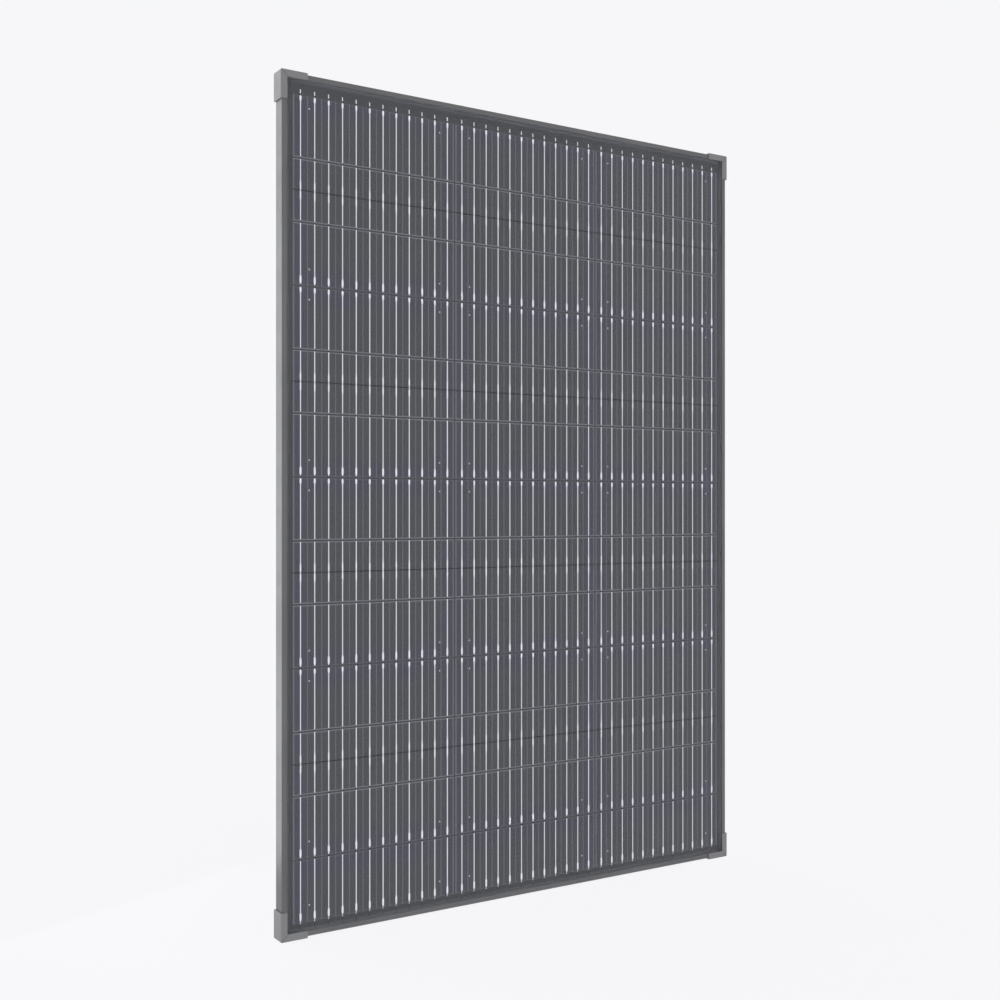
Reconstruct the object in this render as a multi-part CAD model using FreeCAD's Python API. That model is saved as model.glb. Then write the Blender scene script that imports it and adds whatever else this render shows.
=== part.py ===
import FreeCAD, Part
import math
import os

# Framed solar panel, upright, in millimetres.
# +X runs across the panel, +Z up its length, and the glass faces -Y.
# The origin is the centre of the frame's back plane, in the middle of the four mounting holes.

V = FreeCAD.Vector
overcut = 1.0                # every cutter reaches this far past what it cuts

# ---------------------------------------------------------------- cells and their ribbons
cell_width = 210.0
cell_height = 70.0
cell_thickness = 0.18
cell_gap = 2.0
string_count = 3
cells_per_string = 13
busbars = 12
busbar_inset = 9.25          # first busbar to the cell's side edge
ribbon_width = 1.1
ribbon_thickness = 0.25
ribbon_inset = 1.0           # end of a ribbon to the far edge of its cell
bend_share = 0.3             # part of the cell gap that a ribbon stays flat before it bends
stub_length = 6.0            # ribbon past the outer cells, lying on the bus ribbon

# ---------------------------------------------------------------- laminate layers
glass_thickness = 2.0
glass_arris = 0.5            # ground edge of the glass
front_film = 0.35
rear_film = 0.9
backsheet_thickness = 0.3
film_fit = 0.02              # play of a ribbon in its groove, and of the cells in their pocket
pocket_margin = 1.0          # cell block to the edge of its pocket in the film

# ---------------------------------------------------------------- frame
left_margin = 14.8           # outer face of the frame to the first cell
right_margin = 12.6
top_margin = 23.0
bottom_margin = 15.3
frame_depth = 17.0
frame_wall = 1.3
lip_width = 6.0
lip_thickness = 1.0
chamber_width = 8.0          # outer width of the box section behind the glass
flange_width = 22.0
outer_round = 0.6            # outer edges of the extrusion
lip_round = 0.3
seal_gap = 0.2               # sealant in front of and behind the laminate
edge_gap = 1.7               # sealant between the laminate's edge and the frame wall
seal_recess = 0.5            # sealant ends this far short of the lip's edge
mount_hole_radius = 3.5
mount_hole_inset = 15.2      # hole centre to the outer face of the frame
mount_hole_rise = 280.0      # hole centre above or below the middle
earth_hole_radius = 2.1
earth_hole_drop = 380.0
drain_slot_length = 10.0
drain_slot_width = 4.0
drain_slot_inset = 60.0      # slot centre to the outer side face of the frame
drain_slot_land = 0.02       # straight part between the rounds of a slot's ends

# ---------------------------------------------------------------- corner keys
key_fit = 0.1                # key to the walls of the chamber
key_leg = 34.0
key_tooth_depth = 0.3
key_tooth_pitch = 2.4
key_tooth_share = 0.8        # part of the pitch that a tooth's slope takes
key_teeth = 9
key_teeth_start = 10.0       # first tooth from the frame's outer corner
key_lead_in = 0.8
key_hole_radius = 1.5
key_hole_place = 21.0

# ---------------------------------------------------------------- corner protectors
protector_fit = 0.2          # protector to the frame
protector_wall = 1.6
protector_back_wall = 1.3
protector_leg = 31.0         # from the frame's outer corner
protector_overhang = 0.4     # past the inner edge of the frame's lip
protector_round = 1.0
protector_corner_round = 2.0
protector_inner_round = 2 * protector_fit    # small enough to clear the frame's sharp corner
same_plane = 0.001           # points this close to a plane lie in it
crease_width = 0.7           # groove between the two legs, on the front
crease_depth = 0.35

# ---------------------------------------------------------------- bus ribbons and string leads
bus_width = 5.0
bus_thickness = 0.3
bus_start = 0.5              # bus ribbon past the cell gap beyond the outer cells
bus_inset = 3.0              # end of a bus ribbon to the side of its string
insulation_thickness = 0.1
insulation_width = 8.0
lead_width = 5.0
top_lead_inset = 6.0         # leads run down behind the cells this far from the string's side
bottom_lead_inset = 16.0
lead_entry_half = 1.0        # half the height of the gap where the tails start
top_lead_turn = 3.5          # where a lead turns towards the box, above or below the entry line
far_lead_turn = 13.5
bottom_lead_turn = 6.5
tail_thickness = 0.2

# ---------------------------------------------------------------- junction box
box_width = 116.0
box_height = 62.0
box_drop = 62.0              # box centre below the top of the cells
box_corner = 4.0
box_wall = 1.6
box_floor = 1.2
rim_over_boss = 0.2          # rim of the box above its cable bosses
box_foot = 3.0               # foot past the walls
adhesive_thickness = 0.6
adhesive_width = 6.0
entry_side = 3.5             # outer tails to the sides of the window
entry_below = 4.0
entry_above = 6.0
gasket_width = 1.0
gasket_thickness = 0.4
lid_lift = 0.3               # lid to the gasket
lid_thickness = 1.2
lid_skirt = 1.2
lid_fit = 0.5                # skirt to the walls of the box
skirt_depth = 5.2
catch_proud = 0.4
catch_width = 6.0
catch_height = 1.0
catch_place = 50.0
catch_rise = 3.0             # catch above the top of the floor
latch_margin = 0.3           # window round a catch
latch_tab_width = 11.0
latch_tab_below = 1.0

# ---------------------------------------------------------------- terminals, diodes and glands
terminal_pitch = 20.0
terminal_width = 12.0
terminal_top = 5.0           # below the entry line
terminal_bottom = 22.0
terminal_rise = 1.2          # terminal plate above the floor
terminal_thickness = 0.8
rib_inset = 2.0
rib_width = 1.5
diode_length = 7.4
diode_radius = 2.4
diode_lead_radius = 0.5
diode_lead_overlap = 3.0     # lead lying on a terminal plate
diode_place = 12.0           # below the entry line
tail_reach = 8.0             # tail lying on the terminal plate
clip_width = 7.0
clip_thickness = 0.4
clip_length = 6.0
clip_bow = 1.0
contact_tongue = 6.0
contact_thickness = 0.8
contact_width = 5.0
contact_drop = 1.0           # tongue past the lower edge of its terminal plate
barrel_radius = 2.0
barrel_bore = 1.2
barrel_length = 7.0
cable_radius = 2.25
gland_seal_wall = 0.5
gland_seal_length = 9.0
boss_wall = 0.6
boss_length = 11.0
gland_fit = 0.05
nut_wall = 0.85
nut_gap = 0.3                # nut to the foot of the box, and to the backsheet
nut_end = 1.2
nut_mouth_fit = 0.4          # mouth of the nut round the cable
nut_nose_share = 0.86        # width of the nut's nose, as a part of its width over the flats
nut_nose_length = 1.68       # tapered part of the nut
nut_nose_flare = 0.3         # cone of the nose past the nut's corners

# ---------------------------------------------------------------- label on the back
label_width = 96.0
label_height = 62.0
label_thickness = 0.15
label_corner = 2.0
label_drop = 100.0           # label centre below the box centre

# ---------------------------------------------------------------- worked out from the above
cells_width = string_count * cell_width + (string_count - 1) * cell_gap
cells_height = cells_per_string * cell_height + (cells_per_string - 1) * cell_gap
frame_width = cells_width + left_margin + right_margin
frame_height = cells_height + top_margin + bottom_margin
half_width = frame_width / 2
half_height = frame_height / 2
cells_top = half_height - top_margin
cells_bottom = cells_top - cells_height
cells_middle = (left_margin - right_margin) / 2

lip_back = -frame_depth + lip_thickness
glass_front = lip_back + seal_gap
glass_back = glass_front + glass_thickness
cell_front = glass_back + front_film
cell_back = cell_front + cell_thickness
bus_front = cell_back + ribbon_thickness
bus_back = bus_front + bus_thickness
lead_front = bus_front + insulation_thickness
backsheet_front = cell_back + rear_film
laminate_back = backsheet_front + backsheet_thickness
shelf_front = laminate_back + seal_gap
shelf_back = shelf_front + frame_wall
laminate_inset = frame_wall + edge_gap

entry_z = cells_top - box_drop
floor_front = laminate_back + adhesive_thickness
floor_back = floor_front + box_floor
terminal_front = floor_back + terminal_rise
terminal_back = terminal_front + terminal_thickness
seal_radius = cable_radius + gland_seal_wall
boss_radius = seal_radius + gland_fit + boss_wall
nut_bore = boss_radius + gland_fit
nut_half_flat = nut_bore + nut_wall
gland_y = laminate_back + nut_gap + nut_half_flat
rim = gland_y + boss_radius + rim_over_boss
lid_inside = rim + gasket_thickness + lid_lift
lid_outside = lid_inside + lid_thickness
nut_length = boss_length + nut_end - box_foot - nut_gap
terminal_places = [(i - 1.5) * terminal_pitch for i in range(4)]
cable_places = [terminal_places[0], terminal_places[-1]]
entry_half_width = terminal_places[-1] + lead_width / 2 + entry_side
diode_lead_reach = (terminal_pitch - terminal_width) / 2 + diode_lead_overlap
corners = {
    "top_left": (-1, 1), "top_right": (1, 1),
    "bottom_left": (-1, -1), "bottom_right": (1, -1),
}


# ---------------------------------------------------------------- helpers
def box(x, y, z):
    """Box from three (low, high) pairs."""
    return Part.makeBox(x[1] - x[0], y[1] - y[0], z[1] - z[0], V(x[0], y[0], z[0]))


def around(middle, size):
    """(low, high) pair of a size centred on a middle."""
    return middle - size / 2, middle + size / 2


def outline(points, place):
    """Closed wire through (a, b, radius) corners, each rounded by its radius; place maps (a, b) to 3-D."""
    count = len(points)
    ends, edges = [], []
    for i, (a, b, radius) in enumerate(points):
        here = V(a, b, 0)
        before = (V(*points[i - 1][:2], 0) - here).normalize()
        after = (V(*points[(i + 1) % count][:2], 0) - here).normalize()
        half = before.getAngle(after) / 2
        reach = radius / math.tan(half)
        start, end = here + before * reach, here + after * reach
        if radius:
            middle = here + (before + after).normalize() * (radius / math.sin(half) - radius)
            edges.append((i, Part.Arc(*[place(p.x, p.y) for p in (start, middle, end)]).toShape()))
        ends.append((start, end))
    for i in range(count):
        start, end = ends[i][1], ends[(i + 1) % count][0]
        edges.append((i + 0.5, Part.makeLine(place(start.x, start.y), place(end.x, end.y))))
    return Part.Wire([edge for _, edge in sorted(edges, key=lambda item: item[0])])


def plate(points, y):
    """Solid with an outline in X and Z, over a (front, back) pair in Y."""
    flat = Part.Face(outline(points, lambda a, b: V(a, y[0], b)))
    return flat.extrude(V(0, y[1] - y[0], 0))


def bar(points, x):
    """Solid with an outline in Y and Z, over a (low, high) pair in X."""
    sharp = [(a, b, 0) for a, b in points]
    flat = Part.Face(outline(sharp, lambda a, b: V(x[0], a, b)))
    return flat.extrude(V(x[1] - x[0], 0, 0))


def rectangle(x, z, radius):
    """Corners of a rounded rectangle, for plate."""
    return [(x[0], z[0], radius), (x[1], z[0], radius), (x[1], z[1], radius), (x[0], z[1], radius)]


def pin_y(x, z, radius, y):
    """Cylinder along Y over a (front, back) pair."""
    return Part.makeCylinder(radius, y[1] - y[0], V(x, y[0], z), V(0, 1, 0))


def pin_z(x, y, radius, z):
    """Cylinder along Z over a (low, high) pair."""
    return Part.makeCylinder(radius, z[1] - z[0], V(x, y, z[0]), V(0, 0, 1))


def flat_path(points, width, y):
    """Flat strip of a width along straight runs through (x, z) points, as one solid."""
    half = width / 2
    runs = []
    for (xa, za), (xb, zb) in zip(points, points[1:]):
        runs.append(box((min(xa, xb) - half, max(xa, xb) + half), y,
                        (min(za, zb) - half, max(za, zb) + half)))
    return runs[0].fuse(runs[1:]).removeSplitter() if len(runs) > 1 else runs[0]


def save(name, solids):
    """Write one node, from a solid or from a list of separate solids."""
    shape = Part.makeCompound(solids) if isinstance(solids, list) else solids
    shape.exportStep(f"parts/{name}.step")


# ---------------------------------------------------------------- frame
def rail_length(place, along):
    """Length of the frame extrusion; u runs inwards from the outer face and y from front to back."""
    outer = [
        (0, -frame_depth, outer_round),
        (lip_width, -frame_depth, lip_round),
        (lip_width, lip_back, lip_round),
        (frame_wall, lip_back, 0),
        (frame_wall, shelf_front, 0),
        (chamber_width, shelf_front, lip_round),
        (chamber_width, -frame_wall, 0),
        (flange_width, -frame_wall, lip_round),
        (flange_width, 0, lip_round),
        (0, 0, outer_round),
    ]
    inner_wall = chamber_width - frame_wall
    chamber = [
        (frame_wall, shelf_back, 0), (inner_wall, shelf_back, 0),
        (inner_wall, -frame_wall, 0), (frame_wall, -frame_wall, 0),
    ]
    solid, hollow = [Part.Face(outline(points, place)).extrude(along) for points in (outer, chamber)]
    return solid.cut(hollow)


def mitre(points):
    """Prism that cuts a rail's ends at 45 degrees."""
    return plate([(a, b, 0) for a, b in points], (-frame_depth - overcut, overcut))


def side_rail(side):
    """Left (-1) or right (+1) rail with its mounting, earthing and end mitres."""
    rail = rail_length(lambda u, y: V(side * (half_width - u), y, -half_height),
                       V(0, 0, frame_height))
    outer, inner = side * half_width, side * (half_width - flange_width)
    inner_top = half_height - flange_width
    rail = rail.common(mitre([(outer, -half_height), (outer, half_height),
                              (inner, inner_top), (inner, -inner_top)]))
    through = (-frame_wall - overcut, overcut)
    x = side * (half_width - mount_hole_inset)
    holes = [pin_y(x, z, mount_hole_radius, through) for z in (mount_hole_rise, -mount_hole_rise)]
    holes.append(pin_y(x, -earth_hole_drop, earth_hole_radius, through))
    return rail.cut(holes)


def end_rail(side):
    """Bottom (-1) or top (+1) rail with its drain slots and end mitres."""
    rail = rail_length(lambda u, y: V(-half_width, y, side * (half_height - u)),
                       V(frame_width, 0, 0))
    outer, inner = side * half_height, side * (half_height - flange_width)
    inner_side = half_width - flange_width
    rail = rail.common(mitre([(-half_width, outer), (half_width, outer),
                              (inner_side, inner), (-inner_side, inner)]))
    z = side * (half_height - mount_hole_inset)
    slots = []
    for sx in (-1, 1):
        x = sx * (half_width - drain_slot_inset)
        slot = rectangle(around(x, drain_slot_length), around(z, drain_slot_width),
                         (drain_slot_width - drain_slot_land) / 2)
        slots.append(plate(slot, (-frame_wall - overcut, overcut)))
    return rail.cut(slots)


def corner_key(sx, sz):
    """L-shaped key inside the chambers of two rails, with teeth on its inner edges."""
    low = frame_wall + key_fit
    high = chamber_width - frame_wall - key_fit
    end, tip = key_leg, key_leg - key_lead_in
    teeth = []
    for i in range(key_teeth):
        foot = key_teeth_start + i * key_tooth_pitch
        teeth += [(foot, high), (foot + key_tooth_pitch * key_tooth_share, high - key_tooth_depth)]
    along = [(tip, low), (end, low + key_lead_in), (end, high - key_lead_in), (tip, high)]
    along += list(reversed(teeth))
    points = [(low, low)] + along + [(high, high)] + [(b, a) for a, b in reversed(along)]
    shaped = [(sx * (half_width - a), sz * (half_height - b), 0) for a, b in points]
    y = (shelf_back + key_fit, -frame_wall - key_fit)
    middle = (low + high) / 2
    holes = [pin_y(sx * (half_width - a), sz * (half_height - b), key_hole_radius, y)
             for a, b in ((key_hole_place, middle), (middle, key_hole_place))]
    return plate(shaped, y).cut(holes)


def corner_protector(sx, sz):
    """Push-on plastic corner: front, side and back walls round the frame, open to the inside."""
    skin = protector_fit + protector_wall
    reach = lip_width + protector_overhang
    leg = protector_leg
    tip = 2 * lip_round

    def at(a, b, radius):
        return sx * (half_width - a), sz * (half_height - b), radius

    shell = [at(-skin, -skin, protector_corner_round), at(leg, -skin, tip), at(leg, reach, tip),
             at(reach, reach, protector_round), at(reach, leg, tip), at(-skin, leg, tip)]
    front = -frame_depth - skin
    body = plate(shell, (front, protector_fit + protector_back_wall))
    rounded = [edge for edge in body.Edges
               if all(abs(vertex.Point.y - front) < same_plane for vertex in edge.Vertexes)]
    body = body.makeFillet(protector_round, rounded)
    far = 2 * leg
    hollow = [at(-protector_fit, -protector_fit, protector_inner_round), at(far, -protector_fit, 0),
              at(far, far, 0), at(-protector_fit, far, 0)]
    body = body.cut(plate(hollow, (-frame_depth - protector_fit, protector_fit)))
    half = crease_width / 2
    groove = [at(-far + half, -far - half, 0), at(far + half, far - half, 0),
              at(far - half, far + half, 0), at(-far - half, -far + half, 0)]
    return body.cut(plate(groove, (front - overcut, front + crease_depth)))


def edge_seal():
    """Ring of sealant that fills the frame's groove round the laminate."""
    gap = frame_wall
    ring = box(around(0, frame_width - 2 * gap), (lip_back, shelf_front),
               around(0, frame_height - 2 * gap))
    edge = lip_width - seal_recess
    window = box(around(0, frame_width - 2 * edge), (lip_back - overcut, shelf_front + overcut),
                 around(0, frame_height - 2 * edge))
    return ring.cut([window, laminate_layer(glass_front, laminate_back)])


# ---------------------------------------------------------------- laminate
def laminate_layer(front, back):
    """Sheet of the laminate's full size."""
    return box(around(0, frame_width - 2 * laminate_inset), (front, back),
               around(0, frame_height - 2 * laminate_inset))


def front_glass():
    """Tempered glass with ground edges."""
    glass = laminate_layer(glass_front, glass_back)
    return glass.makeChamfer(glass_arris, glass.Edges)


def string_left(string):
    """Left side of a string of cells."""
    return left_margin - half_width + string * (cell_width + cell_gap)


def cell_top(row):
    """Top edge of a cell, counted from the top."""
    return cells_top - row * (cell_height + cell_gap)


def ribbon_places(string):
    """X of each ribbon of a string."""
    pitch = (cell_width - 2 * busbar_inset) / (busbars - 1)
    return [string_left(string) + busbar_inset + i * pitch for i in range(busbars)]


def cell_string(string):
    """The cells of one string, as separate wafers."""
    left = string_left(string)
    return [box((left, left + cell_width), (cell_front, cell_back),
                (cell_top(row) - cell_height, cell_top(row))) for row in range(cells_per_string)]


def tabbing_ribbon(x, row):
    """Ribbon on the front of one cell that bends back in the gap and runs behind the cell above."""
    top = cell_top(row)
    start = top - cell_height + ribbon_inset
    after = top + cell_gap
    end = after + (cell_height - ribbon_inset if row else stub_length)
    bend = bend_share * cell_gap
    front = cell_front - ribbon_thickness
    return bar([(front, start), (front, top + bend), (cell_back, after), (cell_back, end),
                (bus_front, end), (bus_front, after - bend), (cell_front, top), (cell_front, start)],
               around(x, ribbon_width))


def ribbon_string(string):
    """All ribbons of one string, with the short ones behind its lowest cell."""
    lowest = cell_top(cells_per_string - 1)
    down = (lowest - cell_height - cell_gap - stub_length, lowest - ribbon_inset)
    ribbons = []
    for x in ribbon_places(string):
        ribbons += [tabbing_ribbon(x, row) for row in range(cells_per_string)]
        ribbons.append(box(around(x, ribbon_width), (cell_back, bus_front), down))
    return ribbons


def bus_ribbons(side):
    """Bus ribbons past the top (+1) or bottom (-1) cells, one to a string."""
    edge = cells_top if side > 0 else cells_bottom
    near = edge + side * (cell_gap + bus_start)
    far = near + side * bus_width
    z = (min(near, far), max(near, far))
    return [box((string_left(i) + bus_inset, string_left(i) + cell_width - bus_inset),
                (bus_front, bus_back), z) for i in range(string_count)]


def lead_routes():
    """Routes behind the cells from each bus ribbon to the entry of the junction box."""
    above = cells_top + cell_gap + bus_start - lead_width / 2
    below = cells_bottom - cell_gap - bus_start + lead_width / 2
    stop = lead_entry_half + lead_width / 2
    t1, t2, t3, t4 = terminal_places
    left, right = string_left(1) - cell_gap, string_left(2)
    near, far = entry_z + top_lead_turn, entry_z + far_lead_turn
    low = entry_z - bottom_lead_turn
    return [
        [(left - top_lead_inset, above), (left - top_lead_inset, near), (t1, near)],
        [(left - bottom_lead_inset, below), (left - bottom_lead_inset, low), (t2, low),
         (t2, entry_z - stop)],
        [(t2, above), (t2, entry_z + stop)],
        [(t3, below), (t3, entry_z - stop)],
        [(right + top_lead_inset, above), (right + top_lead_inset, far), (t3, far),
         (t3, entry_z + stop)],
        [(right + bottom_lead_inset, below), (right + bottom_lead_inset, low), (t4, low),
         (t4, entry_z - stop)],
    ]


def string_leads():
    """Flat leads from the bus ribbons to the junction box."""
    return [flat_path(route, lead_width, (lead_front, bus_back)) for route in lead_routes()]


def lead_insulation():
    """Film between each lead and the backs of the cells."""
    spare = (insulation_width - lead_width) / 2
    keep = box(around(0, frame_width), (bus_front, lead_front),
               (cells_bottom - cell_gap, cells_top + cell_gap))
    films = []
    for route in lead_routes():
        film = flat_path(route, insulation_width, (bus_front, lead_front)).common(keep)
        films.append(film)
    gap = box(around(0, 2 * entry_half_width), (bus_front - overcut, bus_back),
              around(entry_z, 2 * lead_entry_half + 2 * spare))
    return [film.cut(gap).Solids[0] for film in films]


def entry_window(front, back):
    """Window for the tails, through a layer."""
    return box(around(0, 2 * entry_half_width), (front, back),
               (entry_z - entry_below, entry_z + entry_above))


def ribbon_grooves(front, back):
    """One long groove for each line of ribbons."""
    reach = cell_gap + stub_length + film_fit
    wide = ribbon_width + 2 * film_fit
    return [box(around(x, wide), (front, back), (cells_bottom - reach, cells_top + reach))
            for string in range(string_count) for x in ribbon_places(string)]


def front_encapsulant():
    """Clear film between the glass and the cells, grooved where it has flowed round the ribbons."""
    film = laminate_layer(glass_back, cell_front)
    return film.cut(ribbon_grooves(cell_front - ribbon_thickness - film_fit, cell_front + overcut))


def rear_encapsulant(buried):
    """Film behind the cells, with a pocket for them and hollows for all that is buried in it."""
    film = laminate_layer(cell_front, backsheet_front)
    pocket = box(around(cells_middle, cells_width + 2 * pocket_margin),
                 (cell_front - overcut, cell_back),
                 (cells_bottom - cell_gap - stub_length, cells_top + cell_gap + stub_length))
    grooves = ribbon_grooves(cell_front - overcut, bus_front)
    window = entry_window(bus_front, backsheet_front + overcut)
    return film.cut([pocket] + grooves + buried + [window])


def backsheet():
    """Black sheet on the back, with the window for the tails."""
    return laminate_layer(backsheet_front, laminate_back).cut(
        entry_window(backsheet_front - overcut, laminate_back + overcut))


# ---------------------------------------------------------------- junction box
def box_sides(grow):
    """Outline of the junction box, grown outwards."""
    return rectangle(around(0, box_width + 2 * grow), around(entry_z, box_height + 2 * grow),
                     max(box_corner + grow, 0))


def box_adhesive():
    """Ring of adhesive between the backsheet and the foot of the box."""
    y = (laminate_back, floor_front)
    return plate(box_sides(box_foot), y).cut(plate(box_sides(box_foot - adhesive_width), y))


def catch_z(side, proud):
    """(low, high) of something that stands out from the upper or lower wall of the box."""
    wall = entry_z + side * box_height / 2
    return (wall, wall + proud) if side > 0 else (wall - proud, wall)


def box_base():
    """Tray with a foot, window, terminal ribs, lid catches and two cable bosses."""
    base = plate(box_sides(box_foot), (floor_front, floor_back))
    base = base.fuse(plate(box_sides(0), (floor_front, rim)))
    base = base.cut(plate(box_sides(-box_wall), (floor_back, rim + overcut)))
    added, bores = [], []
    for x in terminal_places:
        for z in (terminal_top + rib_inset, terminal_bottom - rib_inset):
            added.append(box(around(x, terminal_width), (floor_back - box_floor / 2, terminal_front),
                             around(entry_z - z, rib_width)))
    for x in (-catch_place, catch_place):
        for side in (-1, 1):
            added.append(box(around(x, catch_width), around(floor_back + catch_rise, catch_height),
                             catch_z(side, catch_proud)))
    low = entry_z - box_height / 2
    for x in cable_places:
        added.append(pin_z(x, gland_y, boss_radius, (low - boss_length, low + box_wall / 2)))
        bores.append(pin_z(x, gland_y, seal_radius + gland_fit,
                           (low - boss_length - overcut, low + box_wall + overcut)))
    base = base.fuse(added).removeSplitter()
    return base.cut(bores + [entry_window(floor_front - overcut, floor_back)])


def box_gasket():
    """Gasket on the rim of the box."""
    y = (rim, rim + gasket_thickness)
    edge = (box_wall - gasket_width) / 2
    return plate(box_sides(-edge), y).cut(plate(box_sides(-edge - gasket_width), y))


def box_lid():
    """Lid with a skirt, four latch windows and two notches over the cable bosses."""
    grow = lid_fit + lid_skirt
    lid = plate(box_sides(grow), (lid_inside - skirt_depth, lid_outside))
    hollow = plate(box_sides(lid_fit), (floor_front, lid_inside))
    lid = lid.cut(hollow)
    catch_y = around(floor_back + catch_rise, catch_height)
    tabs, windows = [], []
    for x in (-catch_place, catch_place):
        for side in (-1, 1):
            tab_y = (catch_y[0] - latch_margin - latch_tab_below, lid_inside)
            outer, inner = catch_z(side, grow), catch_z(side, lid_fit)
            tab_z = (inner[1], outer[1]) if side > 0 else (outer[0], inner[0])
            tabs.append(box(around(x, latch_tab_width), tab_y, tab_z))
            windows.append(box(around(x, catch_width + 2 * latch_margin),
                               (catch_y[0] - latch_margin, catch_y[1] + latch_margin), outer))
    low = entry_z - box_height / 2
    wide = 2 * (boss_radius + lid_fit)
    notches = [box(around(x, wide), (floor_front, lid_outside + overcut),
                   (low - grow - overcut, low - lid_lift)) for x in cable_places]
    return lid.fuse(tabs).removeSplitter().cut(windows + notches)


def lead_tails():
    """Tails from the ends of the leads, through the window and flat onto each terminal."""
    half = tail_thickness / 2
    flat = (terminal_back, terminal_back + tail_thickness)
    foot, reach = lead_entry_half, entry_z - terminal_top - tail_reach
    return [bar([(lead_front, entry_z - foot), (lead_front, entry_z + foot),
                 (bus_back, entry_z + foot), (bus_back, entry_z + half),
                 (flat[1], entry_z + half), (flat[1], reach), (flat[0], reach),
                 (flat[0], entry_z - half), (bus_back, entry_z - half),
                 (bus_back, entry_z - foot)], around(x, lead_width)) for x in terminal_places]


def terminals():
    """Terminal plates on the ribs of the box."""
    return [box(around(x, terminal_width), (terminal_front, terminal_back),
                (entry_z - terminal_bottom, entry_z - terminal_top)) for x in terminal_places]


def terminal_clips():
    """Bowed spring clips that press the tails onto the terminals."""
    seat = terminal_back + tail_thickness
    top = entry_z - terminal_top - rib_inset
    low, middle = top - clip_length, top - clip_length / 2
    crown, thick = seat + clip_bow, clip_thickness
    return [bar([(seat, low), (seat, low + thick), (crown, middle), (seat, top - thick), (seat, top),
                 (seat + thick, top), (crown + thick, middle), (seat + thick, low)],
                around(x, clip_width)) for x in terminal_places]


def bypass_diode(x):
    """Axial diode across two terminals."""
    y = terminal_back + diode_lead_radius
    z = entry_z - terminal_top - diode_place
    along = V(1, 0, 0)
    body = Part.makeCylinder(diode_radius, diode_length, V(x - diode_length / 2, y, z), along)
    lead = Part.makeCylinder(diode_lead_radius, 2 * diode_lead_reach,
                             V(x - diode_lead_reach, y, z), along)
    return body.fuse(lead).removeSplitter()


def cable_contact(x):
    """Tongue on the outer terminal with a crimp barrel that faces the cable gland."""
    edge = entry_z - terminal_bottom
    start = edge - contact_drop
    tongue = box(around(x, contact_width), (terminal_back, terminal_back + contact_thickness),
                 (start, edge + contact_tongue))
    z = (start - barrel_length, start)
    barrel = pin_z(x, gland_y, barrel_radius, (z[0], z[1] + contact_thickness))
    bore = pin_z(x, gland_y, barrel_bore, (z[0] - overcut, z[1]))
    return tongue.fuse(barrel).removeSplitter().cut(bore)


def gland_seal(x):
    """Rubber bush inside the cable boss."""
    low = entry_z - box_height / 2 - boss_length
    z = (low, low + gland_seal_length)
    return pin_z(x, gland_y, seal_radius, z).cut(pin_z(x, gland_y, cable_radius, z))


def gland_nut(x):
    """Hexagonal nut over the cable boss, with a mouth for the cable."""
    wall = entry_z - box_height / 2
    end = wall - boss_length - nut_end
    top = end + nut_length
    corner = nut_half_flat / math.cos(math.pi / 6)
    points = [V(x + corner * math.cos(i * math.pi / 3), gland_y + corner * math.sin(i * math.pi / 3),
                end) for i in range(6)]
    nut = Part.Face(Part.makePolygon(points + points[:1])).extrude(V(0, 0, nut_length))
    wide = corner + nut_nose_flare
    nose = Part.makeCone(nut_half_flat * nut_nose_share, wide, nut_nose_length, V(x, gland_y, end),
                         V(0, 0, 1))
    nut = nut.common(nose.fuse(pin_z(x, gland_y, wide, (end + nut_nose_length, top))))
    bore = pin_z(x, gland_y, nut_bore, (end + nut_end, top + overcut))
    mouth = pin_z(x, gland_y, cable_radius + nut_mouth_fit, (end - overcut, end + nut_end + overcut))
    return nut.cut([bore, mouth])


def rating_label():
    """Blank label on the backsheet, below the box."""
    sides = rectangle(around(0, label_width), around(entry_z - label_drop, label_height), label_corner)
    return plate(sides, (laminate_back, laminate_back + label_thickness))


# ---------------------------------------------------------------- all nodes
os.makedirs("parts", exist_ok=True)

save("frame_rail_left", side_rail(-1))
save("frame_rail_right", side_rail(1))
save("frame_rail_top", end_rail(1))
save("frame_rail_bottom", end_rail(-1))
for name, (sx, sz) in corners.items():
    save(f"corner_key_{name}", corner_key(sx, sz))
    save(f"corner_protector_{name}", corner_protector(sx, sz))
save("edge_seal", edge_seal())

save("front_glass", front_glass())
save("front_encapsulant", front_encapsulant())
for string, name in enumerate(("left", "centre", "right")):
    save(f"cell_string_{name}", cell_string(string))
    save(f"tabbing_ribbons_{name}", ribbon_string(string))
top_bus, bottom_bus = bus_ribbons(1), bus_ribbons(-1)
leads, films = string_leads(), lead_insulation()
save("top_bus_ribbons", top_bus)
save("bottom_bus_ribbons", bottom_bus)
save("string_leads", leads)
save("lead_insulation", films)
save("rear_encapsulant", rear_encapsulant(top_bus + bottom_bus + leads + films))
save("backsheet", backsheet())
save("rating_label", rating_label())

save("junction_box_adhesive", box_adhesive())
save("junction_box_base", box_base())
save("junction_box_gasket", box_gasket())
save("junction_box_lid", box_lid())
save("lead_tails", lead_tails())
save("terminal_plates", terminals())
save("terminal_clips", terminal_clips())
for number, (low, high) in enumerate(zip(terminal_places, terminal_places[1:]), 1):
    save(f"bypass_diode_{number}", bypass_diode((low + high) / 2))
for name, x in zip(("left", "right"), cable_places):
    save(f"cable_contact_{name}", cable_contact(x))
    save(f"gland_seal_{name}", gland_seal(x))
    save(f"gland_nut_{name}", gland_nut(x))
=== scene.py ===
"""Looks of the framed solar panel.

A finish for every part, the cells' printing, small marks on the frame and the box, and the studio.
"""

import logging
import math
from dataclasses import dataclass, field
from enum import Enum

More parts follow.
